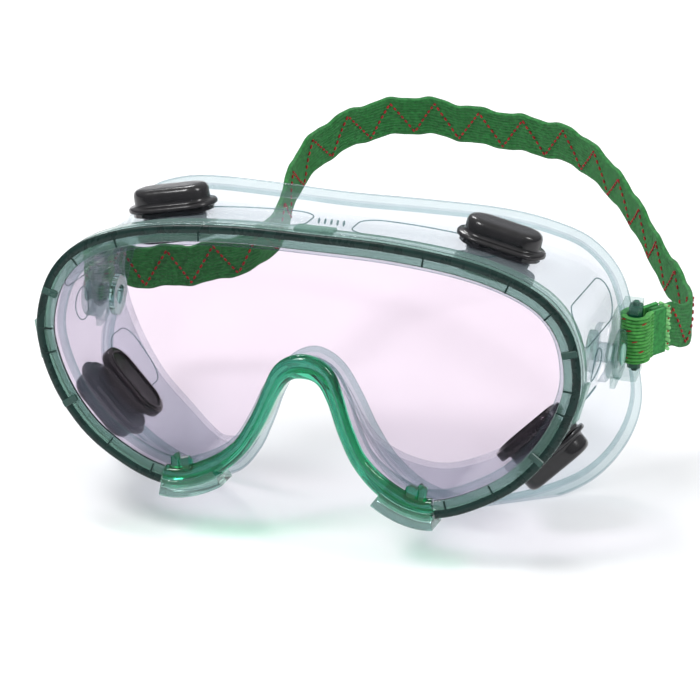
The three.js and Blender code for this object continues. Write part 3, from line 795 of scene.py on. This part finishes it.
def build_wraps():
    p = wrap_path()
    d = unit(np.gradient(p, axis=0))
    nrm = np.stack([d[:, 1], -d[:, 0]], -1)
    ribs = 13
    z = np.linspace(-1, 1, ribs * 8 + 1)
    lump = -0.1 + 0.68 * np.abs(np.sin(z * ribs * math.pi / 2)) ** 0.6
    sz = np.r_[z, z[::-1][1:-1]] * 7.5
    for name, side in (("right", 1), ("left", -1)):
        turn = LEAVE[name]
        c, s = math.cos(turn), math.sin(turn)
        rows = []
        for i in range(len(p)):
            wob = 0.05 * np.sin(i * 0.4 + z * 9)
            ribbed = smooth((5.6 - p[i][0]) / 1.6)
            out = 0.62 + (lump + wob) * ribbed
            sh = np.r_[out, np.full(len(z) - 2, -0.62)]
            q = p[i] + nrm[i] * sh[:, None]
            x, y = c * q[:, 0] - s * q[:, 1], s * q[:, 0] + c * q[:, 1]
            rows.append(clip_pose(np.stack([x + BAR[0], y + BAR[1], sz], -1), side))
        v, f = skin(rows)
        n = len(z) * 2 - 2
        index = [1 if i < len(f) - 2 and p[i // n][0] > 4.7 else 0 for i in range(len(f))]
        make("strap_wrap_" + name, v, f, LIME, "strap_set", "strap_loop_" + name,
             [ELASTIC], index, 70)
        red = []
        for k in range(ribs):
            z0 = (k + 0.5) / ribs * 2 - 1
            j = int(24 + (k * 29 % 46))
            pts = []
            for e in range(-2, 3):
                jj = min(max(j + e, 0), len(p) - 1)
                q = p[jj] + nrm[jj] * 1.22
                x, y = c * q[0] - s * q[1], s * q[0] + c * q[1]
                pts.append(clip_pose(np.array([x + BAR[0], y + BAR[1], z0 * 7.5 + e * 0.1]), side))
            red.append(tube(pts, 0.2, 6))
        v, f = joined(red)
        make("strap_wrap_thread_" + name, v, f, RED, "strap_set", None, angle=60)


def build_seam():
    """Lumpy overlock seam across the strap near the right bar, with loose red bits."""
    lumps, red = [], []
    for end, at in (("right", strap_s[-1] - 6.2), ("left", 6.2)):
        for k in range(11):
            w = -7.1 + 14.2 * k / 10
            for face in (-1, 1):
                n = np.linspace(-1.1, 1.1, 7)
                skew = 0.3 * math.sin(k * 2.1)
                path = on_strap(at + n + skew, np.full(7, w) + 0.45 * n,
                                face * (0.75 + 0.55 * np.cos(n / 1.1 * 1.3)))
                lumps.append(tube(path, 0.62, 10))
                if k % 3 == 1:
                    n = n[2:5]
                    path = on_strap(at + n + skew, np.full(3, w + 0.35), np.full(3, face * 1.82))
                    red.append(tube(path, 0.3, 6))
    v, f = joined(lumps)
    make("strap_overlock", v, f, SEAM, "strap_set", None, angle=60)
    v, f = joined(red)
    make("strap_overlock_red", v, f, RED, "strap_set", None, angle=60)


build_strap()
build_stitches()
build_wraps()
build_seam()

# ---------------------------------------------------------------- floor, lights, camera
floor_mat, nt = material("floor")
n, b = noise_bump(nt, 3, 0.05)
c = ramp(nt, n.outputs["Fac"], [(0.2, (0.86, 0.86, 0.87)), (0.8, (0.88, 0.88, 0.89))])
p = nt.nodes.new("ShaderNodeBsdfPrincipled")
link(nt, c.outputs["Color"], p.inputs["Base Color"])
p.inputs["Roughness"].default_value = 0.75
link(nt, b.outputs["Normal"], p.inputs["Normal"])
out = nt.nodes.new("ShaderNodeOutputMaterial")
link(nt, p.outputs[0], out.inputs["Surface"])
me = bpy.data.meshes.new("floor")
FLOOR, BELOW = 6, -0.0002  # half side, and how far the floor lies under the soles
corners = [(-FLOOR, -FLOOR, BELOW), (FLOOR, -FLOOR, BELOW), (FLOOR, FLOOR, BELOW), (-FLOOR, FLOOR, BELOW)]
me.from_pydata(corners, [], [(0, 1, 2, 3)])
me.materials.append(floor_mat)
floor = bpy.data.objects.new("floor", me)
scene.collection.objects.link(floor)

world = bpy.data.worlds.new("studio")
scene.world = world
world.use_nodes = True
wt = world.node_tree
wt.nodes.clear()
coord = wt.nodes.new("ShaderNodeTexCoord")
split = wt.nodes.new("ShaderNodeSeparateXYZ")
link(wt, coord.outputs["Generated"], split.inputs[0])
sky = ramp(wt, split.outputs["Z"],
           [(0.0, (0.34, 0.35, 0.37)), (0.25, (0.62, 0.63, 0.66)), (0.9, (1, 1, 1))])
back = wt.nodes.new("ShaderNodeBackground")
back.inputs["Strength"].default_value = 0.9
link(wt, sky.outputs["Color"], back.inputs["Color"])
wo = wt.nodes.new("ShaderNodeOutputWorld")
link(wt, back.outputs[0], wo.inputs["Surface"])


def softbox(name, at, aim, size, power, colour=(1, 1, 1)):
    data = bpy.data.lights.new(name, "AREA")
    data.shape, data.size, data.size_y = "RECTANGLE", size[0], size[1]
    data.energy, data.color = power, colour
    o = bpy.data.objects.new(name, data)
    scene.collection.objects.link(o)
    d = np.array(aim, float) - np.array(at, float)
    z = -d / np.linalg.norm(d)
    x = unit(np.cross([0, 0, 1], z))
    y = np.cross(z, x)
    o.matrix_world = Matrix([[x[0], y[0], z[0], at[0]], [x[1], y[1], z[1], at[1]],
                             [x[2], y[2], z[2], at[2]], [0, 0, 0, 1]])
    return o


softbox("key", (-0.45, -0.55, 1.15), (0, 0, 0.04), (0.35, 0.35), 8)
softbox("fill", (0.9, -0.2, 1.0), (0, 0, 0.04), (0.18, 0.5), 5)
softbox("rear", (-0.5, 0.9, 0.9), (0, 0, 0.05), (0.3, 0.3), 5)

cam_data = bpy.data.cameras.new("camera")
cam_data.lens, cam_data.sensor_width = 210.494, 36
cam_data.clip_start, cam_data.clip_end = 0.05, 20
cam = bpy.data.objects.new("camera", cam_data)
scene.collection.objects.link(cam)
CAMERA_TURN, CAMERA_RISE, CAMERA_ROLL = (math.radians(a) for a in (14.9205, 25.0308, 0.5276))
CAMERA_AIM, CAMERA_DISTANCE = np.array([0.007875, -0.070974, 0.062461]), 1.2
sight = np.array([math.sin(CAMERA_TURN) * math.cos(CAMERA_RISE),
                  -math.cos(CAMERA_TURN) * math.cos(CAMERA_RISE), math.sin(CAMERA_RISE)])
level = np.array([math.cos(CAMERA_TURN), math.sin(CAMERA_TURN), 0])
across = level * math.cos(CAMERA_ROLL) + np.cross(sight, level) * math.sin(CAMERA_ROLL)
place = np.column_stack([across, np.cross(sight, across), sight,
                         CAMERA_AIM + sight * CAMERA_DISTANCE])
cam.matrix_world = Matrix([*place.tolist(), [0, 0, 0, 1]])
scene.camera = cam
scene.view_settings.view_transform = "Standard"
scene.cycles.transparent_max_bounces = 32
scene.cycles.max_bounces = 14
scene.cycles.transmission_bounces = 14
